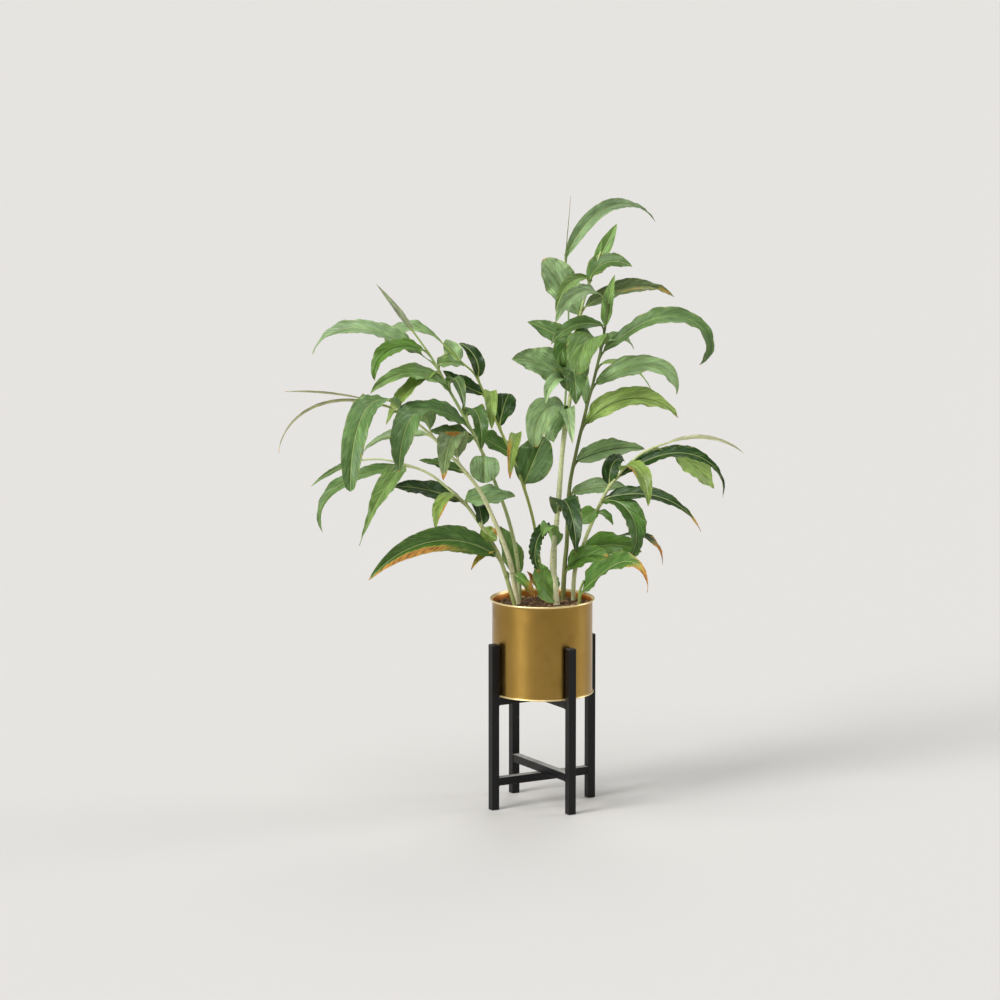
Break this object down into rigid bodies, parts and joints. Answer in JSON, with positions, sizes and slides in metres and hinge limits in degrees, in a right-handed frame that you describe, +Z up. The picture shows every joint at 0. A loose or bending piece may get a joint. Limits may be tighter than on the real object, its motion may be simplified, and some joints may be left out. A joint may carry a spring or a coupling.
{
  "type": "potted galangal",
  "caption": "Galangal plant with long drooping leaves on leaning canes, in soil in a gold metal planter that a black square-tube stand holds up off the floor.",
  "frame": {"origin": "on the floor under the middle of the whole plant and its stand", "axes": "+Z up; the picture looks along +Y with +X to the right"},
  "size_m": [1.1168, 0.6728, 1.4856],
  "materials": {
    "black_steel": "satin black powder coat",
    "black_plastic": "matte moulded",
    "gold_metal": "brushed satin gold",
    "soil": "crumbly and matte",
    "foliage": "satin leaf"
  },
  "bodies": {
    "root": {"leg_front_left": "black_steel", "leg_back_right": "black_steel", "leg_front_right": "black_steel", "leg_back_left": "black_steel", "upper_cross_long": "black_steel", "upper_cross_short_front": "black_steel", "upper_cross_short_back": "black_steel", "lower_cross_top_bar": "black_steel", "lower_cross_bottom_bar": "black_steel", "foot_cap_front_left": "black_plastic", "foot_cap_back_right": "black_plastic", "foot_cap_front_right": "black_plastic", "foot_cap_back_left": "black_plastic", "top_cap_front_left": "black_plastic", "top_cap_back_right": "black_plastic", "top_cap_front_right": "black_plastic", "top_cap_back_left": "black_plastic", "pot": "gold_metal", "soil": "soil", "cane_a": "foliage", "cane_b": "foliage", "cane_c": "foliage", "cane_d": "foliage", "cane_e": "foliage", "cane_f": "foliage", "cane_g": "foliage", "cane_h": "foliage", "basal_shoot": "foliage"}
  },
  "joints": []
}
